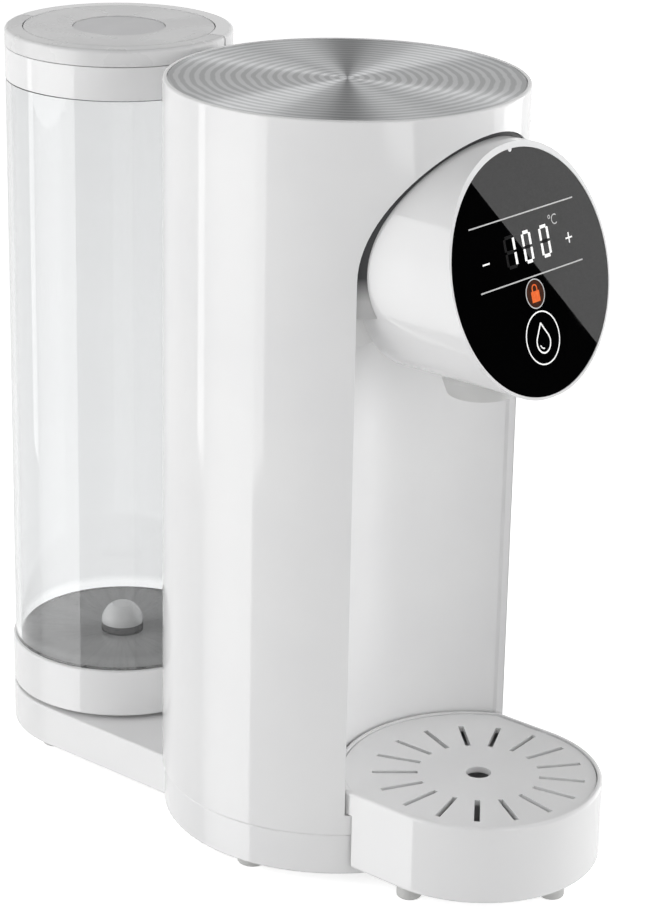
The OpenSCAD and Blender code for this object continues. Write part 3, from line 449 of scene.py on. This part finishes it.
def drop(x, v, radius, tip, width, steps=40):
    """Outlines of the short strokes round a water drop: a round belly drawn up to a tip."""
    side = math.acos(radius / tip)
    start, sweep = math.pi / 2 + side, 2 * (math.pi - side)
    belly = [start + sweep * i / steps for i in range(steps + 1)]
    points = [(x, v + tip)] + [(x + radius * math.cos(a), v + radius * math.sin(a)) for a in belly]
    return [stroke(*a, *b, width) for a, b in zip(points, points[1:] + points[:1])]


def signs_number():
    """The number 100 in seven-bar digits, its unlit bars and the sign for degrees."""
    one, ten, hundred = DIGITS[2], DIGITS[1], DIGITS[0]
    plates("sign_number", digit(hundred, "bc") + digit(ten, "abcdef") + digit(one, "abcdef"), SIGN_WHITE)
    plates("sign_unlit_bars", digit(hundred, "adefg") + digit(ten, "g") + digit(one, "g"), SIGN_GHOST)
    degrees = arc(*DEGREE, DEGREE_R, DEGREE_W, steps=20)
    degrees += arc(*CELSIUS, CELSIUS_R, CELSIUS_W, CELSIUS_OPEN, 360 - CELSIUS_OPEN, 24)
    plates("sign_degrees", degrees, SIGN_LINE)


def signs_marks():
    """Two long lines with a minus and a plus between them."""
    plates("sign_lines", [stroke(-half, v, half, v, LINE_W) for half, v in LINES], SIGN_LINE)
    level = stroke(-MARK_HALF, 0, MARK_HALF, 0, MARK_W)
    upper = stroke(0, MARK_W / 2, 0, MARK_HALF, MARK_W)
    lower = stroke(0, -MARK_HALF, 0, -MARK_W / 2, MARK_W)
    plates("sign_minus", [[point + MINUS for point in level]], SIGN_WHITE)
    plates("sign_plus", [[point + PLUS for point in bar] for bar in (level, upper, lower)], SIGN_WHITE)


def signs_lock():
    """Padlock in a lit ring."""
    x, v = LOCK
    plates("sign_lock_glow", [disc(x, v, LOCK_R)], SIGN_EMBER, SIGN_T / 3)
    plates("sign_lock_ring", arc(x, v, LOCK_R, LOCK_RING_W), SIGN_LINE)
    middle, foot, bend = v - BODY_DROP, v - BODY_DROP + BODY_H / 2, v + SHACKLE_LIFT
    padlock = [stroke(x - BODY_W / 2, middle, x + BODY_W / 2, middle, BODY_H)]
    padlock += [stroke(x + s * SHACKLE_R, foot, x + s * SHACKLE_R, bend, SHACKLE_W) for s in (-1, 1)]
    padlock += arc(x, bend, SHACKLE_R, SHACKLE_W, 0, 180, 20)
    plates("sign_padlock", padlock, SIGN_ORANGE)


def signs_key():
    """Round touch key with a water drop."""
    plates("sign_key_ring", arc(*KEY, KEY_R, KEY_RING_W, steps=72), SIGN_WHITE)
    plates("sign_key_drop", drop(*DROP, DROP_R, DROP_TIP, DROP_W), SIGN_WHITE)
    plates("sign_key_glint", arc(*DROP, SHINE_R, SHINE_W, SHINE_START, SHINE_END, 12), SIGN_WHITE)


signs_number()
signs_marks()
signs_lock()
signs_key()


# Floor, world and studio light, in metres

AMBIENT_LOW, AMBIENT_HIGH = 0.55, 0.3
OVERHEAD = 0.24
STRIP_INNER, STRIP_OUTER = 0.1, 0.26
FLOOR_HALF = 6.0
FLOOR_LIFT = 0.68
SIDE_FRONT, SIDE_BACK = Vector((-0.5, 0.095)), Vector((-0.75, 1.1))
SIDE_LOW, SIDE_HIGH = -0.9, 0.28
SIDE_GLOW = 3.9
# Slanting line across the touch glass, in millimetres, where its reflection turns from dark to bright
GLINT_TOP, GLINT_FOOT = (-24.6, 37.5), (30.7, -33.8)
GLINT_DARK, GLINT_BRIGHT = (-30, -20), (30, 20)
CARD_AWAY, CARD_MARGIN, CARD_DEPTH = 0.6, 0.25, 0.6


def seen_rays(tree):
    """1 for rays from the camera, off glossy surfaces or through clear plastic, and 0 for the others."""
    path = tree.nodes.new("ShaderNodeLightPath")
    seen = path.outputs["Is Glossy Ray"]
    for kind in ("Is Camera Ray", "Is Transmission Ray"):
        either = tree.nodes.new("ShaderNodeMath")
        either.operation = "MAXIMUM"
        tree.links.new(seen, either.inputs[0])
        tree.links.new(path.outputs[kind], either.inputs[1])
        seen = either.outputs["Value"]
    return seen


def mixed(tree, factor, first, second):
    """Mix of two strengths; the first may be a plain number."""
    node = tree.nodes.new("ShaderNodeMix")
    tree.links.new(factor, node.inputs["Factor"])
    if isinstance(first, (int, float)):
        node.inputs["A"].default_value = first
    else:
        tree.links.new(first, node.inputs["A"])
    tree.links.new(second, node.inputs["B"])
    return node.outputs["Result"]


def make_world():
    """White where it is seen, but for a dark strip overhead, and dimmer as a light."""
    world = bpy.data.worlds.new("studio")
    bpy.context.scene.world = world
    world.use_nodes = True
    tree = world.node_tree
    way = tree.nodes.new("ShaderNodeTexCoord").outputs["Generated"]
    aside = tree.nodes.new("ShaderNodeVectorMath")
    aside.operation = "DOT_PRODUCT"
    aside.inputs[1].default_value = (math.cos(CAMERA_HEADING), math.sin(CAMERA_HEADING), 0)
    tree.links.new(way, aside.inputs[0])
    either_side = tree.nodes.new("ShaderNodeMath")
    either_side.operation = "ABSOLUTE"
    tree.links.new(aside.outputs["Value"], either_side.inputs[0])
    strip = spread(tree, either_side.outputs["Value"], OVERHEAD, 1, STRIP_INNER, STRIP_OUTER)
    shown = mixed(tree, along(tree, "Z", 0, 1, 0.3, 0.5, way), 1, strip)
    ambient = along(tree, "Z", AMBIENT_LOW, AMBIENT_HIGH, 0.1, 0.8, way)
    background = tree.nodes["Background"]
    background.inputs["Color"].default_value = (1, 1, 1, 1)
    tree.links.new(mixed(tree, seen_rays(tree), ambient, shown), background.inputs["Strength"])


def make_floor():
    """Pale floor that keeps the object's shadow and fades into the white behind it."""
    data = bpy.data.meshes.new("floor")
    corners = [(x * FLOOR_HALF, y * FLOOR_HALF, 0) for x, y in ((-1, -1), (1, -1), (1, 1), (-1, 1))]
    data.from_pydata(corners, [], [(0, 1, 2, 3)])
    material, tree, shader = new_material("floor")
    tone = two_tones(tree, noise(tree, 8), (0.86, 0.86, 0.86), (0.89, 0.89, 0.89))
    tree.links.new(tone, shader.inputs["Base Color"])
    shader.inputs["Roughness"].default_value = 0.9
    shader.inputs["Specular IOR Level"].default_value = 0.1
    shader.inputs["Emission Color"].default_value = (1, 1, 1, 1)
    lift = spread(tree, seen_rays(tree), 0, FLOOR_LIFT, 0, 1)
    tree.links.new(lift, shader.inputs["Emission Strength"])
    data.materials.append(material)
    floor = in_scene("floor", data)
    floor.visible_glossy = False


def softbox(name, heading, reach, height, width, tall, power):
    """Square soft light at a heading round the column, in degrees from +X, facing the column."""
    data = bpy.data.lights.new(name, "AREA")
    data.shape = "RECTANGLE"
    data.size = width
    data.size_y = tall
    data.energy = power
    light = in_scene(name, data)
    angle = math.radians(heading)
    target = Vector((0, COLUMN_Y, height))
    light.location = target + Vector((math.cos(angle), math.sin(angle), 0)) * reach
    light.rotation_euler = (target - light.location).to_track_quat("-Z", "Y").to_euler()
    light.visible_camera = False


def mirror_card(name, corners, material):
    """Flat card that only shows as a reflection."""
    data = bpy.data.meshes.new(name)
    data.from_pydata(corners, [], [(0, 1, 2, 3)])
    data.materials.append(material)
    card = in_scene(name, data)
    card.visible_camera = False
    card.visible_diffuse = False
    card.visible_transmission = False
    card.visible_shadow = False


def side_card(name):
    """Upright card left of the object, brightest at its front edge, mirrored in the glossy sides."""
    material, tree, shader = new_material(name)
    shader.inputs["Base Color"].default_value = (0, 0, 0, 1)
    shader.inputs["Emission Color"].default_value = (1, 1, 1, 1)
    fading = along(tree, "Y", SIDE_GLOW, 1, SIDE_FRONT.y, SIDE_BACK.y)
    tree.links.new(fading, shader.inputs["Emission Strength"])
    ends = ((SIDE_FRONT, SIDE_LOW), (SIDE_BACK, SIDE_LOW), (SIDE_BACK, SIDE_HIGH), (SIDE_FRONT, SIDE_HIGH))
    mirror_card(name, [(*end, height) for end, height in ends], material)


def mirrored(x, v):
    """Point that the camera sees in the glass at (x, v), as far away as the cards are."""
    seen = on_glass(x, v)
    ray = (seen - bpy.context.scene.camera.matrix_world.translation).normalized()
    return seen + ray.reflect(GLASS_OUT) * CARD_AWAY


def glass_card(name, side, material):
    """Card whose reflection fills the touch glass on one side of its slanting line."""
    first, last = mirrored(*GLINT_TOP), mirrored(*GLINT_FOOT)
    edge = (last - first).normalized()
    inward = mirrored(*side) - first
    inward = (inward - edge * inward.dot(edge)).normalized() * CARD_DEPTH
    first, last = first - edge * CARD_MARGIN, last + edge * CARD_MARGIN
    mirror_card(name, [first, last, last + inward, first + inward], material)


make_camera()
make_world()
make_floor()
glass_card("dark_card", GLINT_DARK, lit_sign("dark_card", (0, 0, 0), (0.002, 0.002, 0.002), 0))
glass_card("bright_card", GLINT_BRIGHT, lit_sign("bright_card", (0.9, 0.9, 0.9), (1, 1, 1), 0.75))
side_card("side_card")
softbox("left_box", heading=145, reach=1.2, height=0.35, width=1.2, tall=1.3, power=10.8)
softbox("right_box", heading=-32, reach=1.3, height=0.35, width=1.4, tall=1.5, power=12.5)
softbox("front_box", heading=-95, reach=1.9, height=0.4, width=1.6, tall=1.2, power=10.4)
bpy.context.scene.view_settings.view_transform = "Standard"
